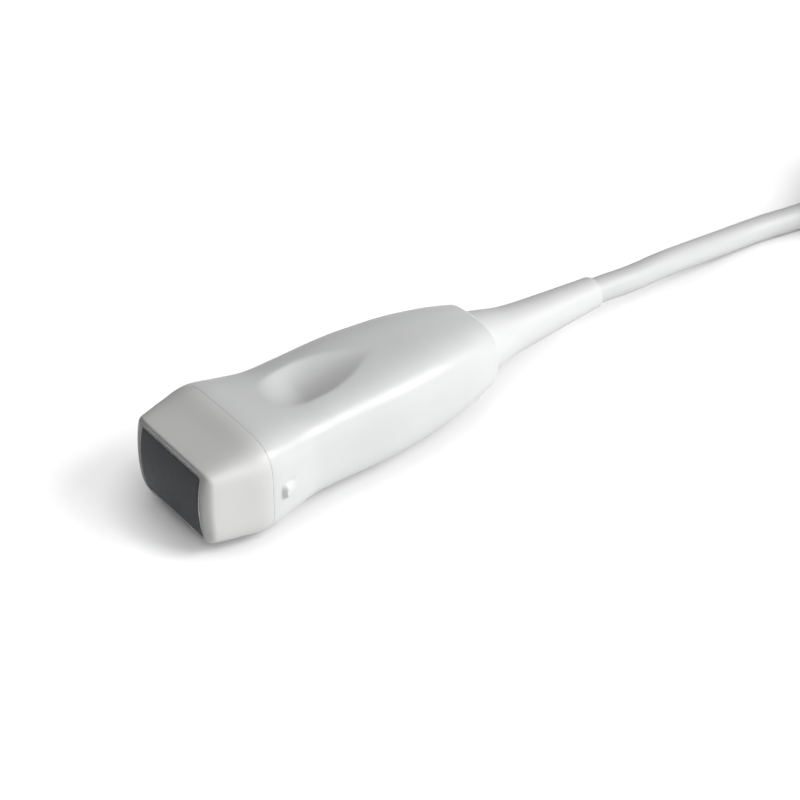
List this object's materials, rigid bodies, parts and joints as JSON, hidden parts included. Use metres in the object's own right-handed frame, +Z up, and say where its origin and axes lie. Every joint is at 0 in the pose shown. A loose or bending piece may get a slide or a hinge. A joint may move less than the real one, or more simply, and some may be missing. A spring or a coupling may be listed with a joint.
{
  "type": "ultrasound transducer probe",
  "caption": "Hand-held phased array ultrasound transducer: rectangular acoustic window in a flared nose, scalloped handle, tapered strain relief, long cable and plug-in connector.",
  "frame": {"origin": "on the floor under the centre of the probe's body, from the crown of its lens to the tip of its strain relief, without the cable", "axes": "+Y along the probe from the lens to the cable, +X towards the side with the orientation ridge, +Z up from the floor it lies on"},
  "size_m": [0.0654, 0.3338, 0.0392],
  "materials": {
    "handle": "satin moulded",
    "nose": "satin moulded",
    "lens": "smooth silicone",
    "boot": "soft moulded",
    "cable": "smooth jacket",
    "epoxy": "cast",
    "piezo": "diced ceramic",
    "flex": "polyimide film",
    "chassis": "machined",
    "board": "solder mask",
    "shield": "tinned sheet",
    "steel": "plain",
    "coax": "plain",
    "contact": "moulded",
    "tie": "hook and loop"
  },
  "bodies": {
    "root": {"handle_shell": "handle", "nose_piece": "nose", "acoustic_lens": "lens", "strain_relief": "boot", "matching_layer_outer": "epoxy", "matching_layer_inner": "epoxy", "piezo_array": "piezo", "flex_circuit": "flex", "backing_block": "epoxy", "chassis": "chassis", "board_upper": "board", "board_lower": "board", "shield_upper": "shield", "shield_lower": "shield", "coax_fan_upper": "coax", "coax_fan_lower": "coax", "board_screw_upper_front": "steel", "board_screw_upper_rear": "steel", "board_screw_lower_front": "steel", "board_screw_lower_rear": "steel", "cable_clamp": "chassis", "clamp_screw_left": "steel", "clamp_screw_right": "steel", "cable_anchored": "cable", "cable_lead": "cable", "cable_hank": "cable", "tie_left": "tie", "tie_right": "tie", "cable_tail": "cable", "connector_base": "handle", "connector_cover": "handle", "connector_shroud": "shield", "contact_block": "contact", "connector_board": "board", "connector_relief": "boot", "connector_screw_1": "steel", "connector_screw_2": "steel", "connector_screw_3": "steel", "connector_screw_4": "steel"}
  },
  "joints": []
}
